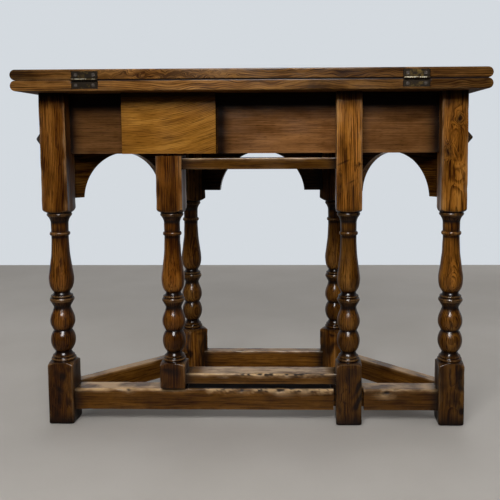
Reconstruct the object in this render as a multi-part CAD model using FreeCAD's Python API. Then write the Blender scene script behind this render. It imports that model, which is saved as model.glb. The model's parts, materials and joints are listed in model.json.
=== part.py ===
import FreeCAD, Part
import math
import os

# Fold-over tea table in oak. Two half-octagon leaves lie one on the other and are hinged along the
# straight edge. A frame of four turned legs carries them, and a swinging gate with two more turned legs
# comes out from under the hinge edge to hold the opened leaf.
# Millimetres. +Z is up and the floor is Z = 0. The hinge edge faces -Y. X = 0 is the middle of the table,
# and the origin is under the middle of the whole closed table.

# Top
top_width = 904.0
leaf_depth = 452.0
corner_cut = 265.0
leaf_thickness = 20.0
leaf_gap = 0.4
leaf_edge_flat = 0.6
hinge_overhang = 49.5
side_overhang = 33.5

# Legs
leg_square = 51.0
leg_height = 667.0
leg_arris = 1.2
back_leg_spread = 340.0
slim_girth = 0.94

# Turning, from the floor up to the belly of the vase: the rise of each feature
foot_block_height = 120.4
foot_shoulder_rise = 7.6
base_ring_rise = 6.0
base_cove_rise = 13.0
lower_ball_rise = 43.0
upper_ball_rise = 46.0
ball_collar_rise = 3.2
disc_rise = 26.0
disc_neck_rise = 3.0
vase_foot_rise = 24.0

# Turning, from the top of the leg down to the end of the vase: the drop of each feature
top_block_height = 228.8
head_shoulder_drop = 8.0
top_ring_drop = 6.8
top_cove_drop = 16.6
upper_neck_drop = 15.0
bead_drop = 8.6
lower_neck_drop = 8.7

# Turning: radii of the features
ball_radius = 24.5
disc_radius = 24.3
vase_radius = 24.6
bead_radius = 20.0
ring_radius = 24.6
neck_radius = 16.9
ball_waist_radius = 17.8
ring_round = 1.2
disc_round = 0.6

# Rail and arched aprons
rail_height = 120.0
rail_thickness = 20.0
apron_height = 211.0
apron_thickness = 20.0
arch_radius = 98.5
arch_top_drop = 120.0

# Stretchers
stretcher_lift = 29.0
stretcher_height = 43.0
front_stretcher_depth = 41.0
front_stretcher_setback = 7.5
stretcher_thickness = 24.0

# Mortise and tenon joints
tenon_length = 20.0
tenon_thickness = 9.0
tenon_shoulder = 8.0
apron_tenon_length = 43.0

# Swinging gate
gate_pivot_from_leg = 228.0
gate_length = 353.6
gate_forward = 2.0
gate_rail_depth = 45.0
gate_top_rail_drop = 4.5
gate_top_rail_thickness = 22.0
gate_stretcher_lift = 13.0
gate_stretcher_thickness = 21.0
gate_floor_gap = 0.6
gate_top_gap = 0.6
pivot_leg_foot_gap = 2.0
pivot_leg_head_gap = 4.0
lap_gap = 1.0
notch_side_gap = 5.0
notch_depth = 20.5

# Pivot block and pivot pins
pivot_block_width = 185.0
pivot_block_thickness = 24.5
pivot_pin_radius = 6.0
pivot_pin_in_leg = 40.0
pivot_pin_wall = 3.5
pivot_pin_in_bore = 28.0
pivot_end_gap = 0.3
running_gap = 0.06
fit_gap = 0.02

# Hinges
hinge_inset = 141.5
hinge_width = 47.5
hinge_plate_height = 16.0
hinge_plate_thickness = 2.0
hinge_knuckle_radius = 3.0
hinge_pin_radius = 1.5
hinge_axis_proud = 0.25
hinge_knuckles = 5
hinge_gap = 0.3
hinge_screw_spacing = 33.0
hinge_screw_drop = 9.6
hinge_screw_length = 18.0
hinge_screw_radius = 1.6
hinge_screw_head_radius = 3.2

# Wood screws, glue blocks and side pegs
screw_radius = 2.2
screw_head_radius = 4.4
block_screw_length = 38.0
block_screw_pitch_x = 120.0
block_screw_pitch_z = 60.0
top_screw_length = 37.0
screw_slot_width = 0.9
screw_slot_depth = 0.7
glue_block_length = 60.0
glue_block_square = 26.0
glue_block_from_leg = 103.0
side_peg_square = 24.0
side_peg_tip = 3.0
side_peg_proud = 11.5
side_peg_drop = 90.0
side_peg_forward = 9.0
side_peg_shank_radius = 4.5
side_peg_depth = 38.0

# Places worked out from the sizes above
half_leg = leg_square / 2
hinge_proud = hinge_knuckle_radius + hinge_axis_proud
hinge_edge_y = hinge_proud - (leaf_depth + hinge_proud) / 2
back_edge_y = hinge_edge_y + leaf_depth
front_leg_x = top_width / 2 - side_overhang - half_leg
front_leg_y = hinge_edge_y + hinge_overhang + half_leg
back_leg_x = back_leg_spread / 2
back_leg_y = front_leg_y + half_leg + front_leg_x - back_leg_x
leaf_bottom = leg_height
hinge_x = top_width / 2 - hinge_inset
rail_bottom = leg_height - rail_height
spandrel_bottom = leg_height - apron_height
arch_crown = leg_height - arch_top_drop
stretcher_top = stretcher_lift + stretcher_height
fold_height = leaf_bottom + leaf_thickness + leaf_gap / 2
hinge_axis_y = hinge_edge_y - hinge_axis_proud
rail_back_y = front_leg_y + half_leg
rail_front_y = rail_back_y - rail_thickness
stretcher_bottom = stretcher_lift
front_stretcher_front_y = front_leg_y - half_leg + front_stretcher_setback
front_stretcher_back_y = front_stretcher_front_y + front_stretcher_depth
notch_back_y = front_stretcher_front_y + notch_depth
gate_pivot_x = gate_pivot_from_leg - front_leg_x
gate_leg_x = gate_pivot_x + gate_length
gate_y = front_leg_y - gate_forward
pivot_leg_bottom = stretcher_top + pivot_leg_foot_gap
pivot_leg_top = rail_bottom - pivot_leg_head_gap
gate_top_rail_bottom = pivot_leg_top - gate_top_rail_drop - gate_top_rail_thickness
gate_stretcher_bottom = stretcher_top + gate_stretcher_lift
glue_block_x = front_leg_x - glue_block_from_leg
side_peg_height = leg_height - side_peg_drop
side_run = (front_leg_x - back_leg_x) * math.sqrt(2) - half_leg
back_corner_x = back_leg_x - half_leg * math.sqrt(2)


def vector(x, y, z):
    return FreeCAD.Vector(x, y, z)


def box(x0, x1, y0, y1, z0, z1):
    """Box between two corners."""
    return Part.makeBox(x1 - x0, y1 - y0, z1 - z0, vector(x0, y0, z0))


def prism(outline, z0, z1):
    """Upright prism on an outline of (x, y) points."""
    corners = [vector(x, y, z0) for x, y in outline]
    face = Part.Face(Part.makePolygon(corners + corners[:1]))
    return face.extrude(vector(0, 0, z1 - z0))


def rod(radius, start, end):
    """Round bar from one point to another."""
    run = end - start
    return Part.makeCylinder(radius, run.Length, start, run)


def mirrored(shape):
    """The same piece on the other side of the middle plane X = 0."""
    return shape.mirror(vector(0, 0, 0), vector(1, 0, 0))


def cut(shape, *tools):
    for tool in tools:
        shape = shape.cut(tool)
    return shape


def fuse(shape, *others):
    for other in others:
        shape = shape.fuse(other)
    return shape.removeSplitter()


def export(name, *solids):
    """Write one piece, or a group of like pieces, to its own file."""
    shape = solids[0] if len(solids) == 1 else Part.makeCompound(list(solids))
    shape.exportStep("parts/" + name + ".step")
    volume = sum(solid.Volume for solid in shape.Solids)
    print(name, len(shape.Solids), "solids", round(volume / 1000.0, 2), "cm3", shape.isValid())


def screw(head, direction, radius, head_radius, length, gap=0.0, slotted=True):
    """Countersunk wood screw with its head's face at a point, or its hole when a gap is given."""
    cone_height = head_radius - radius
    cone = Part.makeCone(head_radius + gap, radius + gap, cone_height, head, direction)
    shank = rod(radius + gap, head, head + direction * (length + gap))
    body = cone.fuse(shank)
    if gap == 0.0 and slotted:
        across = direction.cross(vector(0.0, 0.6, 0.8) if abs(direction.x) < 0.9 else vector(0, 0, 1))
        across.normalize()
        along = direction.cross(across)
        corner = head - across * head_radius - along * (screw_slot_width / 2)
        ends = [corner, corner + across * head_radius * 2]
        ends = ends + [end + along * screw_slot_width for end in reversed(ends)]
        slot = Part.Face(Part.makePolygon(ends + ends[:1])).extrude(direction * screw_slot_depth)
        body = body.cut(slot)
    return body


# Turned legs

def curve(points):
    """Smooth curve through (radius, height) points, or a straight line between two."""
    spots = [vector(radius, 0, height) for radius, height in points]
    if len(spots) == 2:
        return Part.makeLine(spots[0], spots[1])
    spline = Part.BSplineCurve()
    spline.interpolate(spots)
    return spline.toShape()


def arc(start, middle, end):
    spots = [vector(radius, 0, height) for radius, height in (start, middle, end)]
    return Part.Arc(*spots).toShape()


def turned_blank(bottom, top, girth):
    """The leg as it would come off the lathe if its stock were round, block ends left oversize."""
    block = leg_square * 0.75
    corner = leg_square * 0.715
    pommel = leg_square * 0.643
    ring = ring_radius * girth
    ring_edge = ring - ring_round
    ring_foot = ring - ring_round / 2
    neck = neck_radius * girth
    waist = ball_waist_radius * girth
    ball = ball_radius * girth
    disc = disc_radius * girth
    disc_edge = disc - disc_round
    vase = vase_radius * girth
    bead = bead_radius * girth

    # Heights going up
    foot = foot_block_height
    shoulder = foot + foot_shoulder_rise
    base_low = shoulder + base_ring_rise * 0.13
    base_high = shoulder + base_ring_rise
    ball_foot = base_high + base_cove_rise
    ball_waist = ball_foot + lower_ball_rise
    ball_top = ball_waist + upper_ball_rise
    disc_low = ball_top + ball_collar_rise
    disc_high = disc_low + disc_rise
    disc_middle = disc_low + disc_rise * 0.54
    vase_low = disc_high + disc_neck_rise
    vase_belly = vase_low + vase_foot_rise

    # Heights going down
    head = leg_height - top_block_height
    head_shoulder = head - head_shoulder_drop
    ring_high = head_shoulder - top_ring_drop * 0.2
    ring_low = head_shoulder - top_ring_drop
    cove_low = ring_low - top_cove_drop
    bead_high = cove_low - upper_neck_drop
    bead_low = bead_high - bead_drop
    vase_end = bead_low - lower_neck_drop
    taper = vase_end - vase_belly

    profile = [
        curve([(block, bottom), (block, foot)]),
        curve([(block, foot), (corner, foot)]),
        arc((corner, foot), (pommel, foot + foot_shoulder_rise * 0.39), (ring_foot, shoulder)),
        curve([(ring_foot, shoulder), (ring_edge, base_low)]),
        arc((ring_edge, base_low), (ring, (base_low + base_high) / 2), (ring_edge, base_high)),
        arc((ring_edge, base_high), (neck * 1.06, ball_foot - base_cove_rise * 0.44),
            (neck * 0.92, ball_foot)),
        arc((neck * 0.92, ball_foot), (ball, ball_foot + lower_ball_rise * 0.53), (waist, ball_waist)),
        curve([(waist, ball_waist), (ball * 0.875, ball_waist + upper_ball_rise * 0.155),
               (ball * 0.985, ball_waist + upper_ball_rise * 0.31), (ball, ball_waist + upper_ball_rise * 0.45),
               (ball * 0.905, ball_waist + upper_ball_rise * 0.69),
               (ball * 0.775, ball_waist + upper_ball_rise * 0.86), (neck, ball_top)]),
        curve([(neck, ball_top), (neck, disc_low)]),
        curve([(neck, disc_low), (disc_edge, disc_middle - disc_rise * 0.085)]),
        arc((disc_edge, disc_middle - disc_rise * 0.085), (disc, disc_middle),
            (disc_edge, disc_middle + disc_rise * 0.085)),
        curve([(disc_edge, disc_middle + disc_rise * 0.085), (neck, disc_high)]),
        curve([(neck, disc_high), (neck * 0.94, vase_low)]),
        curve([(neck * 0.94, vase_low), (vase * 0.84, vase_low + vase_foot_rise * 0.3), (vase, vase_belly),
               (vase * 0.895, vase_belly + taper * 0.31), (neck * 1.075, vase_belly + taper * 0.67),
               (neck, vase_end)]),
        curve([(neck, vase_end), (neck, bead_low)]),
        arc((neck, bead_low), (bead, (bead_low + bead_high) / 2), (neck, bead_high)),
        curve([(neck, bead_high), (neck * 1.02, cove_low)]),
        arc((neck * 1.02, cove_low), (neck * 1.14, cove_low + top_cove_drop * 0.64), (ring_edge, ring_low)),
        arc((ring_edge, ring_low), (ring, (ring_low + ring_high) / 2), (ring_edge, ring_high)),
        curve([(ring_edge, ring_high), (ring_foot, head_shoulder)]),
        arc((ring_foot, head_shoulder), (pommel, head - head_shoulder_drop * 0.39), (corner, head)),
        curve([(corner, head), (block, head)]),
        curve([(block, head), (block, top)]),
        curve([(block, top), (0, top)]),
        curve([(0, top), (0, bottom)]),
        curve([(0, bottom), (block, bottom)]),
    ]
    face = Part.Face(Part.Wire(profile))
    return face.revolve(vector(0, 0, 0), vector(0, 0, 1), 360)


def turned_leg(x, y, turn, bottom, top, girth):
    """Leg turned from square stock: blocks stay square where the rails join, rounded off at their ends."""
    stock = box(-half_leg, half_leg, -half_leg, half_leg, bottom, top)
    arrises = [edge for edge in stock.Edges if abs(edge.Vertexes[0].Z - edge.Vertexes[1].Z) > leg_arris]
    stock = stock.makeChamfer(leg_arris, arrises)
    leg = stock.common(turned_blank(bottom, top, girth))
    leg.rotate(vector(0, 0, 0), vector(0, 0, 1), turn)
    leg.translate(vector(x, y, 0))
    return leg


# Rails, aprons and stretchers with their tenons

def side_outline(offset_in, offset_out, start, end):
    """Outline along the left side's 45 degree line, from the back of the front leg to the back leg.

    start and end are lengths along the line, one for each side where the end is not square.
    """
    def spot(along, inward):
        step = 1 / math.sqrt(2)
        x = -front_leg_x + (along + inward) * step
        y = front_leg_y + half_leg + (along - inward) * step
        return x, y

    return [spot(start[0], offset_in), spot(end, offset_in),
            spot(end, offset_out), spot(start[1], offset_out)]


def side_member(thickness, bottom, top, front_high, front_length):
    """Left diagonal piece and its two tenons, as (piece, front tenon, back tenon).

    The front tenon runs straight back to front into the front leg, the back one square into the back leg.
    """
    half = thickness / 2
    tongue = tenon_thickness / 2
    leg_back_y = front_leg_y + half_leg
    low = bottom + tenon_shoulder
    body = prism(side_outline(half, -half, (half, -half), side_run), bottom, top)
    front = box(-front_leg_x - tongue, -front_leg_x + tongue, leg_back_y - front_length, leg_back_y,
                low, front_high)
    back = prism(side_outline(tongue, -tongue, (side_run, side_run), side_run + tenon_length),
                 low, top - tenon_shoulder)
    return body, front, back


def back_member(thickness, bottom, top):
    """Back piece, notched over the inner corners of the back legs, and its left tenon."""
    half = thickness / 2
    tongue = tenon_thickness / 2
    wide_x = back_corner_x + half
    body = prism([(-back_corner_x, back_leg_y), (-wide_x, back_leg_y - half), (wide_x, back_leg_y - half),
                  (back_corner_x, back_leg_y), (wide_x, back_leg_y + half), (-wide_x, back_leg_y + half)],
                 bottom, top)
    tenon = box(-back_corner_x - tenon_length, -back_corner_x, back_leg_y - tongue, back_leg_y + tongue,
                bottom + tenon_shoulder, top - tenon_shoulder)
    return body, tenon


def front_member(y0, y1, bottom, top, tenon_low):
    """Straight piece between the front legs and its left tenon."""
    inner = front_leg_x - half_leg
    body = box(-inner, inner, y0, y1, bottom, top)
    middle = (y0 + y1) / 2
    tongue = tenon_thickness / 2
    tenon = box(-inner - tenon_length, -inner, middle - tongue, middle + tongue,
                tenon_low, top - tenon_shoulder)
    return body, tenon


def gate_member(bottom, thickness):
    """Flat rail of the gate and its two tenons, as (rail, tenon in the pivot leg, tenon in the gate leg).

    The first tenon stops short of the pin that the pivot leg turns on.
    """
    top = bottom + thickness
    half = gate_rail_depth / 2
    x0 = gate_pivot_x + half_leg
    x1 = gate_leg_x - half_leg
    body = box(x0, x1, gate_y - half, gate_y + half, bottom, top)
    middle = (bottom + top) / 2
    low = middle - tenon_thickness / 2
    high = middle + tenon_thickness / 2
    y0 = gate_y - half + tenon_shoulder
    y1 = gate_y + half - tenon_shoulder
    pin_side = gate_pivot_x + pivot_pin_radius + pivot_pin_wall
    first = box(pin_side, x0, y0, y1, low, high)
    second = box(x1, x1 + tenon_length, y0, y1, low, high)
    return body, first, second


def arch(centre, normal):
    """Round cutter for the arch of an apron, through the wall at a point on its middle plane."""
    reach = normal * (apron_thickness * 2)
    middle = vector(centre.x, centre.y, arch_crown - arch_radius)
    return rod(arch_radius, middle - reach, middle + reach)


# Hinges

def hinge(x):
    """Butt hinge on the leaves' straight edges, as (lower plate, upper plate, pin, screws, recesses)."""
    left = x - hinge_width / 2
    right = x + hinge_width / 2
    axis0 = vector(left, hinge_axis_y, fold_height)
    axis1 = vector(right, hinge_axis_y, fold_height)
    pitch = hinge_width / hinge_knuckles
    plates = []
    screws = []
    recesses = []
    for side in (-1, 1):
        edges = sorted([fold_height, fold_height + side * hinge_plate_height])
        plate = box(left, right, hinge_edge_y, hinge_edge_y + hinge_plate_thickness, *edges)
        recess = box(left, right, hinge_edge_y, hinge_edge_y + hinge_plate_thickness, *edges)
        for index in range(hinge_knuckles):
            own = (index % 2 == 0) == (side == -1)
            start = left + index * pitch + (hinge_gap / 2 if own and index > 0 else 0)
            end = left + (index + 1) * pitch - (hinge_gap / 2 if own and index < hinge_knuckles - 1 else 0)
            span = [vector(start, hinge_axis_y, fold_height), vector(end, hinge_axis_y, fold_height)]
            if own:
                reach = hinge_plate_thickness + hinge_axis_proud
                web_edges = sorted([fold_height, fold_height + side * hinge_knuckle_radius])
                web = box(start, end, hinge_axis_y, hinge_axis_y + reach, *web_edges)
                plate = plate.fuse(rod(hinge_knuckle_radius, *span)).fuse(web)
            else:
                grown = [span[0] - vector(hinge_gap / 2, 0, 0), span[1] + vector(hinge_gap / 2, 0, 0)]
                plate = plate.cut(rod(hinge_knuckle_radius + hinge_gap, *grown))
                low, high = sorted([fold_height, fold_height + side * hinge_gap])
                deep_y = hinge_edge_y + hinge_plate_thickness
                plate = plate.cut(box(grown[0].x, grown[1].x, hinge_edge_y, deep_y, low, high))
        bore_gap = fit_gap if side == -1 else running_gap
        bore = rod(hinge_pin_radius + bore_gap, axis0, axis1)
        for offset in (-hinge_screw_spacing / 2, hinge_screw_spacing / 2):
            head = vector(x + offset, hinge_edge_y, fold_height + side * hinge_screw_drop)
            sizes = (hinge_screw_radius, hinge_screw_head_radius, hinge_screw_length)
            hole = screw(head, vector(0, 1, 0), *sizes, gap=fit_gap)
            plate = plate.cut(hole)
            recess = recess.fuse(hole)
            screws.append(screw(head, vector(0, 1, 0), *sizes))
        groove = rod(hinge_knuckle_radius + hinge_gap, axis0, axis1)
        plates.append(plate.cut(bore).removeSplitter())
        recesses.append(recess.fuse(groove))
    pin = rod(hinge_pin_radius, axis0, axis1)
    return plates[0], plates[1], pin, screws[:2], screws[2:], recesses[0], recesses[1]


# Leaves

def leaf(bottom):
    """Half-octagon board with a half-round nose on every edge but the hinge edge."""
    half = top_width / 2
    outline = [(-half, hinge_edge_y), (half, hinge_edge_y), (half, back_edge_y - corner_cut),
               (half - corner_cut, back_edge_y), (corner_cut - half, back_edge_y),
               (-half, back_edge_y - corner_cut)]
    board = prism(outline, bottom, bottom + leaf_thickness)
    nosed = []
    for edge in board.Edges:
        middle = edge.CenterOfMass
        level = abs(edge.Vertexes[0].Z - edge.Vertexes[1].Z) < leaf_edge_flat / 2
        if level and middle.y > hinge_edge_y + leaf_edge_flat:
            nosed.append(edge)
    return board.makeFillet((leaf_thickness - leaf_edge_flat) / 2, nosed)


os.makedirs("parts", exist_ok=True)

# Frame members. In the front legs the straight pieces' tenons sit above those of the diagonal pieces.
rail_split = (rail_bottom + leg_height) / 2
bar_split = (stretcher_bottom + stretcher_top) / 2
split_gap = tenon_shoulder / 2
rail, rail_tenon = front_member(rail_front_y, rail_back_y, rail_bottom, leg_height, rail_split)
front_bar, front_bar_tenon = front_member(front_stretcher_front_y, front_stretcher_back_y,
                                          stretcher_bottom, stretcher_top, bar_split)
side_apron, side_apron_front, side_apron_back = side_member(
    apron_thickness, spandrel_bottom, leg_height, rail_split - split_gap, apron_tenon_length)
side_bar, side_bar_front, side_bar_back = side_member(
    stretcher_thickness, stretcher_bottom, stretcher_top, bar_split - split_gap, tenon_length)
back_apron, back_apron_tenon = back_member(apron_thickness, spandrel_bottom, leg_height)
back_bar, back_bar_tenon = back_member(stretcher_thickness, stretcher_bottom, stretcher_top)

# The side arch is centred between the shoulders of the apron's outer face
side_arch_along = (side_run - apron_thickness / 2) / 2
side_arch_centre = vector(-front_leg_x + side_arch_along / math.sqrt(2),
                          front_leg_y + half_leg + side_arch_along / math.sqrt(2), 0)
inward = vector(1, -1, 0)
inward.normalize()
side_apron = side_apron.cut(arch(side_arch_centre, inward))
back_apron = back_apron.cut(arch(vector(0, back_leg_y, 0), vector(0, 1, 0)))

# Side pegs: a square faceted head on the outside of each front leg and a round shank in it
peg_y = front_leg_y - side_peg_forward
peg_face_x = -front_leg_x - half_leg
peg_corners = ((-1, -1), (1, -1), (1, 1), (-1, 1), (-1, -1))


def peg_square(x, side):
    half = side / 2
    return Part.makePolygon([vector(x, peg_y + a * half, side_peg_height + b * half) for a, b in peg_corners])


peg_head = Part.makeLoft([peg_square(peg_face_x, side_peg_square),
                          peg_square(peg_face_x - side_peg_proud, side_peg_tip)], True, True)
peg_start = vector(peg_face_x, peg_y, side_peg_height)
peg_end = peg_start + vector(side_peg_depth, 0, 0)
side_peg = peg_head.fuse(rod(side_peg_shank_radius, peg_start, peg_end))
peg_hole = rod(side_peg_shank_radius + fit_gap, peg_start, peg_end + vector(fit_gap, 0, 0))
export("front_leg_pegs", side_peg, mirrored(side_peg))

# Fixed legs
front_leg = turned_leg(-front_leg_x, front_leg_y, 0, 0, leg_height, 1.0)
front_leg = cut(front_leg, rail_tenon, front_bar_tenon, side_apron_front, side_bar_front, peg_hole)
back_leg = turned_leg(-back_leg_x, back_leg_y, 45, 0, leg_height, slim_girth)
back_leg = cut(back_leg, side_apron_back, side_bar_back, back_apron_tenon, back_bar_tenon)
export("front_leg_left", front_leg)
export("front_leg_right", mirrored(front_leg))
export("back_leg_left", back_leg)
export("back_leg_right", mirrored(back_leg))

# Pivot block on the rail's front face, with the upper pivot's bore and its screws from behind
block_front_y = rail_front_y - pivot_block_thickness
block = box(gate_pivot_x - pivot_block_width / 2, gate_pivot_x + pivot_block_width / 2,
            block_front_y, rail_front_y, rail_bottom, leg_height)
pivot_top_start = vector(gate_pivot_x, gate_y, pivot_leg_top - pivot_pin_in_leg)
pivot_top_end = vector(gate_pivot_x, gate_y, rail_bottom + pivot_pin_in_bore)
block_bore = rod(pivot_pin_radius + running_gap, vector(gate_pivot_x, gate_y, rail_bottom),
                 pivot_top_end + vector(0, 0, pivot_end_gap))
block = block.cut(block_bore)
block_screws = []
block_middle_z = (rail_bottom + leg_height) / 2
for dx in (-block_screw_pitch_x / 2, block_screw_pitch_x / 2):
    for dz in (-block_screw_pitch_z / 2, block_screw_pitch_z / 2):
        head = vector(gate_pivot_x + dx, rail_back_y, block_middle_z + dz)
        sizes = (screw_radius, screw_head_radius, block_screw_length)
        block_screws.append(screw(head, vector(0, -1, 0), *sizes))
        hole = screw(head, vector(0, -1, 0), *sizes, gap=fit_gap)
        rail = rail.cut(hole)
        block = block.cut(hole)
export("pivot_block", block)
export("pivot_block_screws", *block_screws)

# Glue blocks under the top, inside the frame, each with a screw up into the lower leaf
block_low = leg_height - glue_block_square
half_block = glue_block_length / 2
glue_blocks = []
glue_places = []
for x in (-glue_block_x, glue_block_x):
    glue_blocks.append(box(x - half_block, x + half_block, rail_back_y, rail_back_y + glue_block_square,
                           block_low, leg_height))
    glue_places.append((x, rail_back_y + glue_block_square / 2))
back_inner_y = back_leg_y - apron_thickness / 2
glue_blocks.append(box(-half_block, half_block, back_inner_y - glue_block_square, back_inner_y,
                       block_low, leg_height))
glue_places.append((0.0, back_inner_y - glue_block_square / 2))
side_inner = apron_thickness / 2
side_outer = side_inner + glue_block_square
side_middle = side_run / 2
side_glue = side_outline(side_outer, side_inner, (side_middle - half_block, side_middle - half_block),
                         side_middle + half_block)
side_glue_x = sum(x for x, y in side_glue) / len(side_glue)
side_glue_y = sum(y for x, y in side_glue) / len(side_glue)
glue_blocks.append(prism(side_glue, block_low, leg_height))
glue_places.append((side_glue_x, side_glue_y))
glue_blocks.append(mirrored(glue_blocks[-1]))
glue_places.append((-side_glue_x, side_glue_y))

top_screws = []
lower_leaf = leaf(leaf_bottom)
for index, (x, y) in enumerate(glue_places):
    head = vector(x, y, block_low)
    sizes = (screw_radius, screw_head_radius, top_screw_length)
    hole = screw(head, vector(0, 0, 1), *sizes, gap=fit_gap)
    top_screws.append(screw(head, vector(0, 0, 1), *sizes))
    glue_blocks[index] = glue_blocks[index].cut(hole)
    lower_leaf = lower_leaf.cut(hole)
export("glue_blocks", *glue_blocks)
export("top_fixing_screws", *top_screws)

# Gate
pivot_leg = turned_leg(gate_pivot_x, gate_y, 0, pivot_leg_bottom, pivot_leg_top, slim_girth)
swing_leg = turned_leg(gate_leg_x, gate_y, 0, gate_floor_gap, leg_height - gate_top_gap, slim_girth)
top_bar, top_bar_pivot, top_bar_swing = gate_member(gate_top_rail_bottom, gate_top_rail_thickness)
low_bar, low_bar_pivot, low_bar_swing = gate_member(gate_stretcher_bottom, gate_stretcher_thickness)
pivot_low_start = vector(gate_pivot_x, gate_y, pivot_leg_bottom + pivot_pin_in_leg)
pivot_low_end = vector(gate_pivot_x, gate_y, stretcher_top - pivot_pin_in_bore)
for start, end in ((pivot_top_start, pivot_top_end), (pivot_low_start, pivot_low_end)):
    pivot_leg = pivot_leg.cut(rod(pivot_pin_radius + fit_gap, start, end))
pivot_leg = cut(pivot_leg, top_bar_pivot, low_bar_pivot)
lap_x0 = gate_leg_x - leg_square
lap_x1 = gate_leg_x + leg_square
lap_back_y = gate_y + leg_square
head_lap = box(lap_x0, lap_x1, rail_front_y - lap_gap, lap_back_y, rail_bottom - lap_gap * 2, leg_height)
foot_lap = box(lap_x0, lap_x1, notch_back_y - lap_gap, lap_back_y,
               stretcher_bottom - lap_gap * 2, stretcher_top + lap_gap * 2)
swing_leg = cut(swing_leg, top_bar_swing, low_bar_swing, head_lap, foot_lap)
export("gate_pivot_leg", pivot_leg)
export("gate_leg", swing_leg)
export("gate_top_rail", fuse(top_bar, top_bar_pivot, top_bar_swing))
export("gate_stretcher", fuse(low_bar, low_bar_pivot, low_bar_swing))
export("pivot_pin_upper", rod(pivot_pin_radius, pivot_top_start, pivot_top_end))
export("pivot_pin_lower", rod(pivot_pin_radius, pivot_low_start, pivot_low_end))

# Rail, aprons and stretchers
front_bar = fuse(front_bar, front_bar_tenon, mirrored(front_bar_tenon))
notch = box(gate_leg_x - half_leg - notch_side_gap, gate_leg_x + half_leg + notch_side_gap,
            front_stretcher_front_y - leg_square, notch_back_y, stretcher_bottom, stretcher_top)
low_bore = rod(pivot_pin_radius + running_gap, vector(gate_pivot_x, gate_y, stretcher_top),
               pivot_low_end - vector(0, 0, pivot_end_gap))
export("front_rail", fuse(rail, rail_tenon, mirrored(rail_tenon)))
export("front_stretcher", cut(front_bar, notch, low_bore))
side_apron = fuse(side_apron, side_apron_front, side_apron_back).cut(peg_hole)
side_bar = fuse(side_bar, side_bar_front, side_bar_back)
export("side_apron_left", side_apron)
export("side_apron_right", mirrored(side_apron))
export("back_apron", fuse(back_apron, back_apron_tenon, mirrored(back_apron_tenon)))
export("side_stretcher_left", side_bar)
export("side_stretcher_right", mirrored(side_bar))
export("back_stretcher", fuse(back_bar, back_bar_tenon, mirrored(back_bar_tenon)))

# Leaves and hinges
upper_leaf = leaf(leaf_bottom + leaf_thickness + leaf_gap)
lower_screws = []
upper_screws = []
for side, x in (("left", -hinge_x), ("right", hinge_x)):
    low_plate, high_plate, pin, low_screws, high_screws, low_recess, high_recess = hinge(x)
    lower_leaf = lower_leaf.cut(low_recess)
    upper_leaf = upper_leaf.cut(high_recess)
    lower_screws.extend(low_screws)
    upper_screws.extend(high_screws)
    export("lower_hinge_plate_" + side, low_plate)
    export("upper_hinge_plate_" + side, high_plate)
    export("hinge_pin_" + side, pin)
export("lower_hinge_screws", *lower_screws)
export("upper_hinge_screws", *upper_screws)
export("lower_leaf", lower_leaf)
export("upper_leaf", upper_leaf)

print("hinge axis y z", round(hinge_axis_y, 3), round(fold_height, 3))
print("gate axis x y", gate_pivot_x, round(gate_y, 3))
print("front legs y", round(front_leg_y, 3), "back legs y", round(back_leg_y, 3))
print("side arch centre", round(side_arch_centre.x, 2), round(side_arch_centre.y, 2))
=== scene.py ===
# %% [markdown]
# # An oak fold-over tea table
# The table is a half-octagon credence: two leaves folded on each other, a frame of turned legs with arched
# aprons, and a gate that swings out to carry the opened leaf. The solids of the frame come in first and stay
# where they are. Everything below gives them worn oak skins, aged brass, a floor, light and a camera.

# %% Bring in the fixed frame
import json
import math
import bpy
import numpy as np
from mathutils import Matrix, Vector


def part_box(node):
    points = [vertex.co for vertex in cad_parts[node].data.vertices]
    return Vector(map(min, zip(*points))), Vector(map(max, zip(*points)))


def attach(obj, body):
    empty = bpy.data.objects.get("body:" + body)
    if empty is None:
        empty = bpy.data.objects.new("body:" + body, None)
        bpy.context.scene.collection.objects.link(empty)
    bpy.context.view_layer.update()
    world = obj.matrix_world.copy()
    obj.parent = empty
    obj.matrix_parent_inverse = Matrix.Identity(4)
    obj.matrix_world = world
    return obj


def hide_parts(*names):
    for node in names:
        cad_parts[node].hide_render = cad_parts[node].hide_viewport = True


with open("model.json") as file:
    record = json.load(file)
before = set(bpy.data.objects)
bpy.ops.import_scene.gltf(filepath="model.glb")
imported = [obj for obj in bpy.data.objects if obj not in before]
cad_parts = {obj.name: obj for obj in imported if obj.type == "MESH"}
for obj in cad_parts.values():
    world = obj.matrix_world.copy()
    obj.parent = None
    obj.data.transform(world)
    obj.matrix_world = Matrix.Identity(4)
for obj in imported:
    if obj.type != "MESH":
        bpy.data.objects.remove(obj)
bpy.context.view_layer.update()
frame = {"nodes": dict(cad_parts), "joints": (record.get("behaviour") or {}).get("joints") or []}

# %% [markdown]
# ## Small helpers for finishes
# A finish is a graph of nodes. Writing out every node and wire hides the recipe, so short helpers start a
# finish, make a node, mix two colours, spread a value over a range or over colours, do a sum and read an
# attribute. Constants go straight on the sockets, wires are given as sockets.

# %% Node helpers
def put(socket, value):
    """Gives a socket its value: another node's socket is wired to it, a plain value is set on it."""
    if isinstance(value, bpy.types.NodeSocket):
        socket.id_data.links.new(value, socket)
    else:
        socket.default_value = value


def feed(node, **inputs):
    """Gives a node's named inputs their values; an underscore stands for a space."""
    for key, value in inputs.items():
        put(node.inputs[key.replace("_", " ")], value)


def add(tree, kind, settings=None, **inputs):
    """One node of this kind: settings are its own choices, inputs are numbers or other nodes' sockets."""
    made = tree.nodes.new("ShaderNode" + kind)
    for key, value in (settings or {}).items():
        setattr(made, key, value)
    feed(made, **inputs)
    return made


def joined(kind, settings, places, values):
    """The outputs of a node in the tree of the first socket among the values, which go to these inputs."""
    tree = next(value.id_data for value in values if isinstance(value, bpy.types.NodeSocket))
    made = add(tree, kind, settings)
    for place, value in zip(places, values):
        put(made.inputs[place], value)
    return made.outputs


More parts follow.
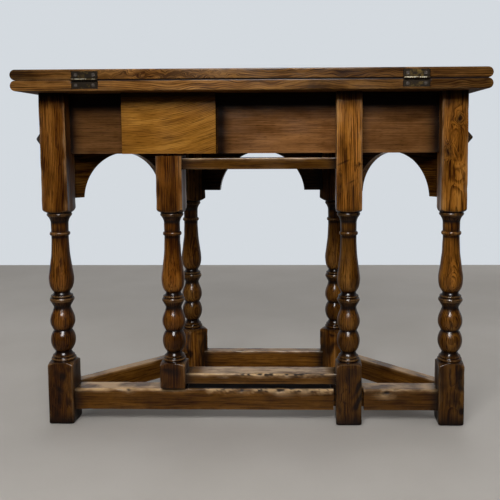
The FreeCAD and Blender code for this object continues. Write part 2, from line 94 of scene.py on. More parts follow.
def mixed(mode, amount, below, above):
    """A colour between below and above, by the amount, in a mixing mode."""
    settings = dict(data_type="RGBA", blend_type=mode)
    return joined("Mix", settings, (0, 6, 7), (amount, below, above))[2]


def ranged(value, start, stop, first, last):
    """The value's stretch from start to stop spread evenly from first to last, and held past both ends."""
    return joined("MapRange", {}, range(5), (value, start, stop, first, last))[0]


def calc(operation, *values):
    """One step of arithmetic on one to three values."""
    return joined("Math", dict(operation=operation), range(3), values)[0]


def ramped(value, *stops):
    """The value turned into colour by stops of (place, colour)."""
    made = add(value.id_data, "ValToRGB")
    elements = made.color_ramp.elements
    while len(elements) < len(stops):
        elements.new(0.5)
    for element, (place, colour) in zip(elements, stops):
        element.position = place
        element.color = (*colour, 1.0)
    put(made.inputs[0], value)
    return made.outputs[0]


def new_finish(name):
    """A new material, its node tree and its shader."""
    finish = bpy.data.materials.new(name)
    finish.use_nodes = True
    return finish, finish.node_tree, finish.node_tree.nodes["Principled BSDF"]


def carried(tree, name, output="Fac"):
    """The attribute of this name that a piece carries on its points."""
    return add(tree, "Attribute", dict(attribute_name=name)).outputs[output]


print("node helpers ready")

# %% [markdown]
# ## Waxed oak
# Old oak shows wavy yearly rings, long streaks, fine dark pores, a dark, grubby skin of wax in every hollow
# and pale worn arrises. A flat texture would stretch over the turnings, so the grain is solid: each piece
# carries its own place in the plank it was cut from as an attribute, with the first coordinate along the
# grain. Four more attributes tell how worn a point is (wear, which also carries painted highlights and
# sheen), how grubby (grime, which also carries painted shade and shadow), how light (tone, which also
# carries painted shade) and how dull (matte).

# %% Oak recipe
WHITE = (1, 1, 1)
# Colour of grubby wax in hollows, and of painted shade and shadow.
DIRT = (0.006, 0.003, 0.002, 1)
PLANK_SHIFT = (0.37, 0.011, 0.053)


def oak(name, dark, middle, light, ring=0.0034, figure=8.0, wave=0.3, strong=0.85, blotch=0.65, fleck=0.75,
        fine=1.0, planks=0.0, rubbed=(0.36, 0.205, 0.085), gloss=(0.12, 0.27), shine=0.10, carries=True):
    """Oak finish: rings, streaks and pores in plank coordinates give a value, a ramp gives its colour.

    Ring is the width of a yearly ring and planks the width of the boards of a top, both in metres; each board
    is shifted in the grain. Figure and wave bend the rings; strong, fleck and blotch say how much rings,
    streaks and stains darken; gloss is the least and most roughness.
    """
    finish, tree, shader = new_finish(name)
    if carries:
        plank = carried(tree, "grain", "Vector")
    else:
        plank = add(tree, "TexCoord").outputs["Object"]
    if planks:
        count = calc("DIVIDE", add(tree, "SeparateXYZ", Vector=plank).outputs["Y"], planks)
        joint = calc("ABSOLUTE", calc("SUBTRACT", calc("FRACT", count), 0.5))
        plank = joined("VectorMath", dict(operation="MULTIPLY_ADD"), range(3),
                       (calc("FLOOR", count), PLANK_SHIFT, plank))[0]

    def stretched(along, side):
        return add(tree, "Mapping", Vector=plank, Scale=(along, side, side)).outputs[0]

    def noise(along, side, detail):
        return add(tree, "TexNoise", Vector=stretched(along, side), Scale=1.0,
                   Detail=detail).outputs["Fac"]

    rings = add(tree, "TexWave", dict(wave_type="RINGS", rings_direction="X", wave_profile="SAW"),
                Vector=stretched(wave, 1.0), Scale=math.tau / 20 / ring, Distortion=figure, Detail=3.0,
                Detail_Scale=0.22, Detail_Roughness=0.6).outputs["Fac"]
    broad = noise(6, 46, 3)
    streaks = noise(15, 310 * fine, 2)
    pores = noise(70, 1100, 1)
    mottle = noise(17, 34, 4)
    colour = ramped(broad, (0.34, dark), (0.50, middle), (0.68, light))
    fade = ranged(noise(9, 80, 2), 0.36, 0.58, 0.3 * strong, strong)
    layers = [(fade, rings, (0.42, WHITE), (0.80, (0.24, 0.17, 0.13)), (0.97, (0.18, 0.13, 0.10)),
               (1.0, (0.8, 0.75, 0.7))),
              (fleck, streaks, (0.38, (0.18, 0.12, 0.10)), (0.49, WHITE)),
              (0.8, pores, (0.30, (0.45, 0.42, 0.40)), (0.44, WHITE)),
              (blotch, mottle, (0.33, (0.50, 0.43, 0.38)), (0.52, WHITE))]
    if planks:
        layers.append((0.9, joint, (0.494, WHITE), (0.4985, (0.25, 0.2, 0.17))))
    for amount, value, *stops in layers:
        colour = mixed("MULTIPLY", amount, colour, ramped(value, *stops))
    rough = ranged(mottle, 0.3, 0.7, *gloss)
    if carries:
        colour = mixed("MULTIPLY", 1.0, colour, carried(tree, "tone", "Color"))
        # Worn paleness also paints highlights and sheen; the dark mix below also paints shade and shadow.
        patchy = ramped(mottle, (0.40, (0.12, 0.12, 0.12)), (0.58, WHITE))
        bare = calc("MULTIPLY", carried(tree, "wear"), patchy)
        colour = mixed("MIX", bare, colour, (*rubbed, 1))
        grime = carried(tree, "grime")
        dirt = calc("MULTIPLY", grime, calc("MULTIPLY_ADD", broad, 0.6, 0.7))
        colour = mixed("MIX", calc("MINIMUM", dirt, 0.96), colour, DIRT)
        rough = calc("ADD", rough, ranged(grime, 1.0, 1.2, 0.0, 0.7))
        rough = calc("MULTIPLY_ADD", carried(tree, "matte"), 0.45, rough)
    relief = calc("MULTIPLY_ADD", streaks, 0.5, calc("MULTIPLY_ADD", pores, 0.3, mottle))
    bump = add(tree, "Bump", Height=relief, Strength=0.25, Distance=0.0010).outputs[0]
    feed(shader, Base_Color=colour, Roughness=rough, Normal=bump, Specular_IOR_Level=shine)
    return finish


# %% Oak finishes
oak_frame = oak("waxed_oak_frame", (0.13, 0.046, 0.005), (0.29, 0.110, 0.013), (0.46, 0.205, 0.036))
oak_russet = oak("russet_oak_frame", (0.13, 0.041, 0.004), (0.29, 0.096, 0.010), (0.46, 0.180, 0.026))
oak_bars = oak("waxed_oak_bars", (0.16, 0.056, 0.005), (0.26, 0.097, 0.010), (0.38, 0.155, 0.020), figure=5.0,
               strong=0.45, blotch=0.55, fleck=0.6, rubbed=(0.58, 0.37, 0.18))
oak_rail = oak("waxed_oak_rail", (0.14, 0.058, 0.017), (0.21, 0.089, 0.025), (0.29, 0.128, 0.038), figure=5.0,
               wave=0.16, strong=0.4, blotch=0.5, fleck=0.4, fine=1.5)
oak_top = oak("waxed_oak_top", (0.20, 0.083, 0.018), (0.33, 0.145, 0.031), (0.48, 0.225, 0.055), ring=0.0038,
              figure=6.0, wave=0.14, blotch=0.4, fleck=0.7, planks=0.151, gloss=(0.16, 0.28), shine=0.06)
oak_block = oak("waxed_oak_block", (0.28, 0.112, 0.014), (0.38, 0.163, 0.021), (0.47, 0.215, 0.034),
                ring=0.0031, figure=4.0, wave=0.16, strong=0.6, blotch=0.3, fleck=0.5, fine=1.5)
oak_raw = oak("bare_oak", (0.10, 0.06, 0.03), (0.24, 0.16, 0.09), (0.40, 0.29, 0.18), gloss=(0.6, 0.8),
              carries=False)
print("oak finishes made: frame, russet, bars, rail, top, block and bare")

# %% [markdown]
# ## Measures from the frame
# A skin has to lie where its solid lies, so places and sizes are read from the solids' boxes instead of being
# typed again. Millimetres suit furniture better than Blender's metres; MM turns one into the other.

# %% Measures
MM = 0.001


def box_mm(node):
    """A solid's lowest and highest corner in millimetres, to a thousandth."""
    low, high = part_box(node)
    return np.round(np.array(low) / MM, 3), np.round(np.array(high) / MM, 3)


def extent(node):
    """The middle of a solid's box and its three sizes."""
    low, high = box_mm(node)
    return (low + high) / 2, high - low


leaf_fold = next(joint for joint in frame["joints"] if joint["name"] == "leaf_fold")
plate_middle, plate_size = extent("lower_hinge_plate_right")
HINGE_X = plate_middle[0]
FOLD_Z = round(leaf_fold["pos_m"][2] / MM, 3)
print("hinges at", HINGE_X, "mm from the middle, fold at height", FOLD_Z, "mm")

# %% [markdown]
# ## Aged brass and iron screws
# The butt hinges are old brass gone nearly black, the screws rusty iron. A painted picture would be one way;
# a recipe of nodes is shorter and has no seams: a dark film broken by noise so that bare metal shows through,
# and a roughness that follows it.

# %% Metal finishes
# Colour of the painted highlight on the hinge knuckles.
BRIGHT = (0.25, 0.235, 0.185)


def old_metal(name, film, bare, size, rough, hinge=False):
    """Metal finish: a noise in object coordinates decides where the film is worn through to bare metal.

    On a hinge the upper halves of the knuckles, just above the fold, carry a painted highlight in places,
    broken at two gaps between them; a painted shadow lies below them, the lower plate is a little darker,
    and the plates' ends keep their film.
    """
    finish, tree, shader = new_finish(name)
    place = add(tree, "TexCoord").outputs["Object"]
    spots = add(tree, "TexNoise", Vector=place, Scale=size, Detail=5.0, Roughness=0.65).outputs[0]

    def band(value, middle, full, none, amount):
        """The amount where a value is within full of the middle, fading out at none (in millimetres)."""
        away = calc("ABSOLUTE", calc("SUBTRACT", value, middle * MM))
        return ranged(away, full * MM, none * MM, amount, 0.0)

    rubbed = spots
    if hinge:
        split = add(tree, "SeparateXYZ", Vector=place).outputs
        outward = calc("SUBTRACT", calc("ABSOLUTE", split["X"]), HINGE_X * MM)
        aside = calc("ABSOLUTE", outward)
        rise = calc("SUBTRACT", split["Z"], FOLD_Z * MM)
        # A painted highlight on the knuckles' upper halves, broken at two gaps, and a painted shadow below
        # them.
        gaps = calc("SUBTRACT", 1.0, band(aside, 7.9, 0.4, 1.1, 1.0))
        knuckle = calc("MULTIPLY", band(rise, 1.8, 0.5, 1.1, 0.85), gaps)
        knuckle = calc("MULTIPLY", knuckle, ranged(spots, 0.44, 0.54, 0.25, 1.0))
        dirt = calc("ADD", band(rise, -3.0, 2.2, 3.6, -0.45), band(rise, -11.6, 6.0, 8.5, -0.08))
        ends = band(aside, 30.0, 8.0, 20.0, -0.16)
        rubbed = calc("ADD", calc("ADD", spots, ends), calc("ADD", knuckle, dirt))
    colour = ramped(rubbed, (0.47, film), (0.68, bare), (0.95, BRIGHT))
    bump = add(tree, "Bump", Height=spots, Strength=0.4, Distance=0.0004).outputs[0]
    feed(shader, Base_Color=colour, Roughness=ranged(rubbed, 0.3, 0.7, rough[1], rough[0]),
         Normal=bump, Metallic=0.85, Specular_IOR_Level=0.15)
    return finish


def finish_nodes(finish, *names):
    """Gives solids that stay as they are their finish."""
    for name in names:
        materials = frame["nodes"][name].data.materials
        materials.clear()
        materials.append(finish)
    print(finish.name, "on", len(names), "solids")


hinge_brass = old_metal("aged_brass", (0.005, 0.0034, 0.0018), (0.075, 0.049, 0.014), 90.0, (0.28, 0.5),
                        hinge=True)
screw_iron = old_metal("rusty_iron", (0.014, 0.011, 0.009), (0.05, 0.043, 0.037), 500.0, (0.4, 0.7))
finish_nodes(hinge_brass, *(part + side for part in ("lower_hinge_plate_", "upper_hinge_plate_", "hinge_pin_")
                            for side in ("left", "right")))
finish_nodes(screw_iron, "lower_hinge_screws", "upper_hinge_screws", "pivot_block_screws",
             "top_fixing_screws", "pivot_pin_upper", "pivot_pin_lower")
finish_nodes(oak_raw, "glue_blocks")

# %% [markdown]
# ## From a grid of points to a piece
# Every wooden piece is a closed skin: rows of points along the piece, columns round its section. One function
# joins the grid into faces, closes both ends, turns the faces outwards and stores the five oak attributes.

# %% Grid to piece
SHARP = math.radians(34)
ARC_POINTS = 7


def ripple(points, size, seed):
    """Smooth unevenness near -1 to 1: the mean of eight sine waves with seeded directions, size long."""
    draw = np.random.default_rng(seed)
    waves = draw.normal(size=(8, 3))
    waves *= math.tau / size * draw.uniform(0.6, 1.7, (8, 1)) / np.linalg.norm(waves, axis=1, keepdims=True)
    return 1.7 * np.sin(points @ waves.T + draw.uniform(0, math.tau, 8)).mean(-1)


def placed(name, data):
    """A new object that holds this data, in the scene."""
    made = bpy.data.objects.new(name, data)
    bpy.context.scene.collection.objects.link(made)
    return made


def skin(name, points, body, node, finish, slot, grain, wear, grime, tone, matte):
    """A closed skin: quads join row i and i+1 and column j and j+1 (wrapping), a polygon closes each end."""
    rows, columns = points.shape[:2]
    index = np.arange(rows * columns).reshape(rows, columns)
    onward = np.roll(index, -1, axis=1)
    quads = np.stack([index[:-1], onward[:-1], onward[1:], index[1:]], -1).reshape(-1, 4)
    flat = points.reshape(-1, 3)
    corners = flat[quads]
    facing = np.cross(corners[:, 2] - corners[:, 0], corners[:, 3] - corners[:, 1])
    volume = np.einsum("ij,ij->i", facing, corners.mean(1) - flat.mean(0)).sum()
    first, last = index[0, ::-1].tolist(), index[-1].tolist()
    if volume < 0:
        quads, first, last = quads[:, ::-1], first[::-1], last[::-1]
    mesh = bpy.data.meshes.new(name)
    mesh.from_pydata(flat.tolist(), [], quads.tolist() + [first, last])
    mesh.polygons.foreach_set("use_smooth", np.ones(len(mesh.polygons), bool))
    mesh.set_sharp_from_angle(angle=SHARP)
    held = mesh.attributes.new("grain", "FLOAT_VECTOR", "POINT")
    held.data.foreach_set("vector", grain.astype(np.float32).ravel())
    for key, values in dict(wear=wear, grime=grime, tone=tone, matte=matte).items():
        held = mesh.attributes.new(key, "FLOAT", "POINT")
        held.data.foreach_set("value", np.broadcast_to(values, (rows, columns)).astype(np.float32).ravel())
    mesh.materials.append(finish)
    piece = placed(name, mesh)
    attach(piece, body)
    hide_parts(node)
    print(f"{name}: {rows} x {columns} grid")


def rounded_section(x0, x1, y0, y1, radius, flat):
    """Rounded rectangle, one per row: four arcs of the given radius joined by straight sides.

    A limit is one number or one per row, radius has a row for each and a column per corner, and flat is the
    number of points on a side. Also gives the closeness to an arris: 1 on the arcs, falling off over 2 mm.
    """
    x0, x1, y0, y1 = (np.reshape(limit, (-1, 1)) for limit in (x0, x1, y0, y1))
    turn = np.radians(np.linspace(0, 90, ARC_POINTS))
    arcs = []
    for k, (cx, cy, sx, sy) in enumerate(((x1, y1, -1, -1), (x0, y1, 1, -1), (x0, y0, 1, 1),
                                          (x1, y0, -1, 1))):
        r = radius[:, k:k + 1]
        angle = turn + k * math.pi / 2
        arcs.append(np.stack([cx + sx * r + r * np.cos(angle), cy + sy * r + r * np.sin(angle)], -1))
    share = np.linspace(0, 1, flat + 2)[1:-1, None]
    parts, closeness = [], []
    for k in range(4):
        a, b = arcs[k][:, -1:], arcs[(k + 1) % 4][:, :1]
        reach = np.linalg.norm(b - a, axis=-1) * np.minimum(share, 1 - share).T
        parts += [arcs[k], a * (1 - share) + b * share]
        closeness += [np.ones(arcs[k].shape[:2]), np.exp(-reach / (1.8 * MM))]
    return np.concatenate(parts, 1), np.concatenate(closeness, 1)


def worn_radius(along, base, chip, seed):
    """Radius of the four arrises along a piece: a base that wavers, and chips where a second wave peaks."""
    spots = np.stack(np.broadcast_arrays(np.reshape(along, (-1, 1)), np.arange(4) * 0.37, 0.0), -1)
    waver = base * (1 + 0.45 * ripple(spots, 0.06, seed))
    return np.maximum(waver, 0.4 * base) + chip * np.clip(ripple(spots, 0.035, seed + 50) - 0.45, 0, 1)


print("skin helpers ready")

# %% [markdown]
# ## The turned legs
# Each leg starts as 51 mm square stock. The lathe leaves the square blocks and cuts, from the bottom up, a
# disc, two balls, a ring, a long vase, a bead and a flared collar. A Spin of a drawn curve would lose the
# square blocks, so one surface does it all: the section is the square, cut back to a circle wherever the
# turned radius is smaller. Rows follow the lathe profile, columns go round the section.

# %% Lathe profile
def arc(knots, count):
    """Points on the circle through three (radius, height) points, evenly in angle, without the first."""
    a, via, b = (complex(*knot) for knot in knots)
    w = (b - a) / (via - a)
    centre = (b - a) * (w - abs(w) ** 2) / (2j * w.imag) / w + a
    start, mid, end = (np.angle(p - centre) for p in (a, via, b))
    sweep = (end - start) % math.tau
    if (mid - start) % math.tau > sweep:
        sweep -= math.tau
    points = centre + abs(a - centre) * np.exp(1j * (start + sweep * np.linspace(0, 1, count + 1)[1:]))
    return np.stack([points.real, points.imag], -1)


def smooth(knots, count):
    """A cubic through the knots: between two of them, the Hermite curve with the neighbours' slopes."""
    knots = np.asarray(knots, float)
    span = np.concatenate([[0], np.cumsum(np.linalg.norm(np.diff(knots, axis=0), axis=1))])
    slope = np.gradient(knots, span, axis=0)
    at = np.linspace(0, span[-1], count + 1)[1:]
    k = np.clip(np.searchsorted(span, at) - 1, 0, len(knots) - 2)
    h = (span[k + 1] - span[k])[:, None]
    t = ((at - span[k]) / h[:, 0])[:, None]
    return ((1 + 2 * t) * (1 - t) ** 2 * knots[k] + t * (1 - t) ** 2 * h * slope[k]
            + t ** 2 * (3 - 2 * t) * knots[k + 1] + t ** 2 * (t - 1) * h * slope[k + 1])


knot = (36.47, 120.4)
lathe = [knot]
for shape, count, *through in (
        (arc, 12, (32.8, 123.4), (24.0, 128.0)), (None, 0, (23.4, 128.8)),
        (arc, 7, (24.6, 131.4), (23.4, 134.0)),
        (None, 0, (21.4, 134.9), (21.0, 135.6), (21.7, 136.4), (21.9, 137.6), (21.4, 138.8), (20.0, 139.3)),
        (arc, 6, (17.2, 142.6), (15.6, 147.0)), (arc, 24, (24.5, 169.8), (17.8, 190.0)),
        (smooth, 26, (21.4, 197.1), (24.1, 204.3), (24.5, 210.7), (22.2, 221.7), (19.0, 229.6),
         (16.9, 236.0)),
        (None, 0, (16.9, 239.2)), (smooth, 5, (20.3, 245.1), (23.7, 251.0)),
        (arc, 6, (24.3, 253.2), (23.7, 255.4)), (None, 0, (22.9, 257.0), (21.2, 257.9), (20.7, 258.5)),
        (arc, 7, (21.9, 260.5), (20.6, 262.5)), (None, 0, (18.0, 263.6), (16.7, 265.4), (15.9, 268.2)),
        (smooth, 44, (20.7, 275.4), (24.6, 292.2), (22.0, 317.7), (18.2, 347.3), (16.9, 374.5)),
        (smooth, 3, (16.9, 383.2)), (arc, 9, (20.0, 387.5), (16.9, 391.8)),
        (smooth, 5, (17.2, 406.8)), (arc, 9, (19.3, 417.4), (23.4, 423.4)),
        (arc, 7, (24.6, 426.1), (23.4, 428.8)), (None, 0, (24.0, 430.2)),
        (arc, 12, (32.8, 435.1), (36.47, 438.2))):
    lathe += list(shape([knot, *through], count)) if shape else through
    knot = through[-1]
lathe = np.array(lathe) * MM
print("lathe profile:", len(lathe), "points, thinnest radius", round(lathe[:, 0].min() / MM, 1), "mm")

# %% Wear on a leg
FOOT_TOP = 119 * MM
ROUND_BELOW = 30 * MM


def leg_wear(where, limit, reach, close, seed):
    """Paleness and darkness of a leg: rims and block arrises are worn pale, hollows and the foot are grubby.

    A bulge is where the radius is above its own running mean over 7 mm, a hollow where it is below. The
    lists add the small rims and hollows as bell curves (height, width); the pale rims are partly a painted
    highlight. Stains on the foot are a ripple, the foot is darker towards the floor, and a painted shadow of
    the leaf lies on the top.
    """
    z = where[:, 0, 2]
    at = z[:, None] / MM
    plain = np.minimum(limit, 27 * MM)
    weight = np.exp(-((z[:, None] - z[None, :]) / (7 * MM)) ** 2)
    bulge = (plain - (weight @ plain) / weight.sum(1))[:, None]
    turned = (limit < ROUND_BELOW)[:, None]
    block_wear = close * np.where(z < FOOT_TOP, 0.2, 0.42)[:, None]
    wear = np.where(turned, np.clip(bulge / (3 * MM), 0, 1) * 0.22, block_wear)
    grime = np.where(turned, np.clip(-bulge / (2.2 * MM), 0, 1), 0)
    hollows = np.array([(128.6, 1.4), (135.4, 0.8), (146, 4.5), (190.5, 4.5), (238, 6.5), (257.9, 0.9),
                        (267, 4.5), (381, 2.2), (393.0, 1.8), (412, 4), (430.0, 2.6)])
    # The pale rims are partly worn and partly a painted highlight.
    rims = np.array([(132.8, 0.9), (138.0, 0.8), (251.4, 0.9), (255.0, 0.8), (261.0, 0.9), (388.5, 1.4),
                     (427.5, 0.7), (424.2, 0.7)])
    grime = np.maximum(grime, np.exp(-((at - hollows[:, 0]) / hollows[:, 1]) ** 2).max(1)[:, None])
    wear = np.maximum(wear, np.exp(-((at - rims[:, 0]) / rims[:, 1]) ** 2).max(1)[:, None] * 0.45)
    wear = np.maximum(wear, np.exp(-np.abs(reach - limit[:, None]) / (0.9 * MM)) * ~turned * 0.6)
    swirl = where * [1, 1, 0.6] + 0.012 * np.stack([ripple(where, 0.06, seed + k) for k in (30, 31, 32)], -1)
    stains = 0.9 * np.clip(1.1 * ripple(swirl, 0.034, seed + 20) + 0.12, 0, 1) * (at < FOOT_TOP / MM)
    # Darker towards the floor, and a painted shadow of the leaf over the top of the leg.
    ends = np.maximum(0.95 * np.exp(-(at / 20) ** 2), 0.85 * np.clip((at - 650) / 12, 0, 1))
    return wear, np.maximum(np.maximum(grime, stains), ends)


# %% Leg surface
(front_x, front_y, _), leg_size = extent("front_leg_right")
HALF = leg_size[0] / 2
LEG_TOP = leg_size[2]
FOOT_ROUND = 4.5 * MM


def leg(name, body="frame", *, tone, seed, girth=1.0, turn=0.0, laps=(), knots=(), cracks=(),
        pith=(0.004, 0.055), finish=oak_frame):
    """A leg skin: the section's points are pulled in to the turned radius, smoothly where the two meet.

    Rows: block heights and the lathe profile, with a rounded foot. Laps are (from, to, depth behind the
    middle) stretches where the back of the block is cut away; each end of one has two rows. Knots are
    (height, side, reach, push, core): a bell curve pushes the grain back, which draws rings round it, and the
    core is dark. Cracks are (side, from, to, lean): thin dark lines in the front that move sideways by lean
    for each step up. Tone is for head, vase, balls and foot block. The sides are darker than the front, a
    painted shade, and duller.
    """
    lowest, highest = box_mm(name)
    x, y = (lowest + highest)[:2] / 2 * MM
    bottom, top = lowest[2], highest[2]
    foot = bottom + np.array([0.0, 0.15, 0.5, 1.1, 2.0, 3.2, 4.5])
    block_rows = np.arange(bottom + 8, 118, 3.0)
    head_rows = np.arange(442.0, top - 1, 2.0)
    cuts = [end + step for lap in laps for end in lap[:2] for step in (-0.001, 0.001)]
    z = np.concatenate([foot, block_rows, lathe[:, 1] / MM, head_rows, [top], cuts])
    limit = np.full(len(z), 60.0)
    limit[len(foot) + len(block_rows):][:len(lathe)] = lathe[:, 0] / MM
    order = np.argsort(z, kind="stable")
    order = order[z[order] <= top]
    z, limit = z[order] * MM, limit[order] * MM
    limit = limit * (girth + (1 - girth) * np.clip((limit / MM - 25) / 11, 0, 1))
    lift = np.clip(z - bottom * MM, 0, FOOT_ROUND)
    inset = FOOT_ROUND - np.sqrt(np.maximum(FOOT_ROUND ** 2 - (FOOT_ROUND - lift) ** 2, 0))
    half = HALF * MM - 0.8 * inset
    back = half
    for start, stop, depth in laps:
        back = np.where((z > start * MM) & (z < stop * MM), depth * MM, back)
    radius = worn_radius(z, 2.0 * MM, 2.6 * MM, seed) + 0.8 * inset[:, None]
    radius = np.minimum(radius, (0.45 * (half + back))[:, None])
    section, close = rounded_section(-half, half, -half, back, radius, 28)
    reach = np.linalg.norm(section, axis=-1)
    bound = limit[:, None]
    pulled = (reach + bound - np.sqrt((reach - bound) ** 2 + (0.5 * MM) ** 2)) / 2
    where = np.stack([section[..., 0], section[..., 1], np.broadcast_to(z[:, None], reach.shape)], -1)
    dents = 0.35 * MM * np.clip(ripple(where + seed, 0.03, seed + 9), 0, 1)
    section = section * ((pulled - dents) / reach)[..., None]
    c, s = math.cos(math.radians(turn)), math.sin(math.radians(turn))
    points = np.stack([x + c * section[..., 0] - s * section[..., 1],
                       y + s * section[..., 0] + c * section[..., 1], where[..., 2]], -1)
    wear, grime = leg_wear(where, limit, reach, close, seed)
    head, vase, balls, block = tone
    shades = ((118, block), (126, 0.45 * balls), (140, 0.45 * balls), (150, 0.72 * balls),
              (186, 0.72 * balls), (196, balls), (232, balls), (240, 0.42 * balls), (264, 0.42 * balls),
              (274, vase), (300, 1.1 * vase), (340, 0.9 * vase), (376, 0.75 * vase), (384, 0.6 * vase),
              (396, 0.75 * vase), (404, 0.75 * vase), (412, 0.35 * vase), (430, 0.35 * vase), (440, head))
    shade = np.interp(z / MM, *np.transpose(shades))[:, None]
    aside = np.abs(points[..., 0] - x) / np.hypot(points[..., 0] - x, points[..., 1] - y)
    turned = bound < ROUND_BELOW
    # Painted shade: the sides are darker than the front.
    darker = np.where(turned, 0.5, np.where(z[:, None] < FOOT_TOP, 0.7, 0.2))
    shade = shade * (1 - darker * aside ** 3)
    matte = np.where(turned, 0.5, 0.75) * aside ** 4
    grain = np.stack([where[..., 2], section[..., 0], section[..., 1]], -1)
    stir = where + 0.003 * np.stack([ripple(where, 0.03, seed + k) for k in (60, 61, 62)], -1)
    in_front = section[..., 1] < 0
    for height, side, wide, push, core in knots:
        up = (stir[..., 2] - height * MM) / (1.9 * wide * MM)
        bell = up ** 2 + ((stir[..., 0] - side * MM) / (wide * MM)) ** 2
        grain[..., 2] += push * MM * np.exp(-bell)
        grime = np.maximum(grime, core * np.exp(-2.5 * bell) * in_front)
    for side, low, high, lean in cracks:
        within = 1 / (1 + np.exp(-np.minimum(z / MM - low, high - z / MM)))
        across = 0.75 * where[..., 0] + 0.25 * stir[..., 0] - side * MM - lean * (where[..., 2] - low * MM)
        line = np.exp(-(across / (1.6 * MM * math.hypot(1, lean))) ** 2) * in_front
        grime = np.maximum(grime, 0.95 * within[:, None] * line)
    grain = grain + np.array([0.37 * seed, *pith])
    skin(name + "_turned", points, body, name, finish, "oak_frame", grain, wear, grime, shade, matte)


# %% Six legs
LAP_ROOM = 1.0
LAP_ENDS = 2.0
SLIM = 0.94
rail_low = box_mm("front_rail")[0]
stretcher_low, stretcher_high = box_mm("front_stretcher")
gate_low, gate_high = box_mm("gate_leg")
gate_y = (gate_low[1] + gate_high[1]) / 2
stretcher_y = (stretcher_low[1] + stretcher_high[1]) / 2
gate_laps = ((stretcher_low[2] - LAP_ENDS, stretcher_high[2] + LAP_ENDS, stretcher_y - gate_y - LAP_ROOM),
             (rail_low[2] - LAP_ENDS, LEG_TOP, rail_low[1] - gate_y - LAP_ROOM))

leg("front_leg_left", tone=(0.52, 0.56, 0.56, 0.33), finish=oak_russet, seed=3, pith=(0.040, 0.032),
    knots=((52, -4, 13, 7, 0.3), (96, 8, 9, -5, 0.3), (22, 10, 9, 5, 0), (300, -6, 9, 4, 0),
           (540, 6, 12, 3, 0)))
leg("front_leg_right", tone=(1.15, 1.12, 0.74, 0.36), seed=5, pith=(-0.004, 0.050),
    knots=((614, 9, 9, 15, 1.0), (548, -14, 8, 14, 1.0), (580, -2, 16, -9, 0), (505, 6, 14, 8, 0),
           (290, 0, 10, -8, 0), (206, -2, 6, 8, 0.9), (168, 3, 8, 5, 0), (60, 6, 12, 5, 0.3)),
    cracks=((-3, 84, 119, 0),))
leg("back_leg_left", girth=SLIM, turn=45, tone=(0.42, 0.62, 0.66, 1.12), seed=7)
leg("back_leg_right", girth=SLIM, turn=45, tone=(0.42, 0.62, 0.72, 1.15), seed=11)
leg("gate_pivot_leg", "gate", girth=SLIM, tone=(0.56, 0.76, 0.62, 0.35), finish=oak_russet, seed=13,
    pith=(0.045, 0.020), knots=((300, 2, 9, -5, 0), (170, -3, 8, 5, 0)))
leg("gate_leg", "gate", girth=SLIM, tone=(1.25, 0.52, 0.58, 0.38), seed=17, pith=(-0.050, 0.016),
    knots=((503, -19, 5, 5, 0.9), (524, 18, 4, 3, 0.8), (481, -18, 6, 4, 0.9), (300, -3, 9, 4, 0),
           (60, -5, 11, 7, 0)), laps=gate_laps,
    cracks=((8, 434, 484, 0), (1, 66, 119, 0), (-9, 20, 52, 0), (-22, 524, 534, 2.1), (0, 489, 494, 1.5),
            (15, 524, 527, 3)))

# %% [markdown]
# ## Rails, stretchers and the pivot block
# These are planed bars. Their arrises were once sharp and are now rubbed round and chipped, most on the floor
# stretchers where feet have rested. A box with a Bevel would give one even radius, so the bar is a rounded
# rectangle carried along its length, with an own radius for each arris at each station.

# %% Bars
UP = np.array([0, 0, 1.0])


def along_bar(value, place):
    """A value along a bar: a number holds all along, a list of (mm along, value) is joined by lines."""
    value = value if np.isscalar(value) else np.interp(place, *np.transpose(value))
    return np.broadcast_to(value, len(place))[:, None]


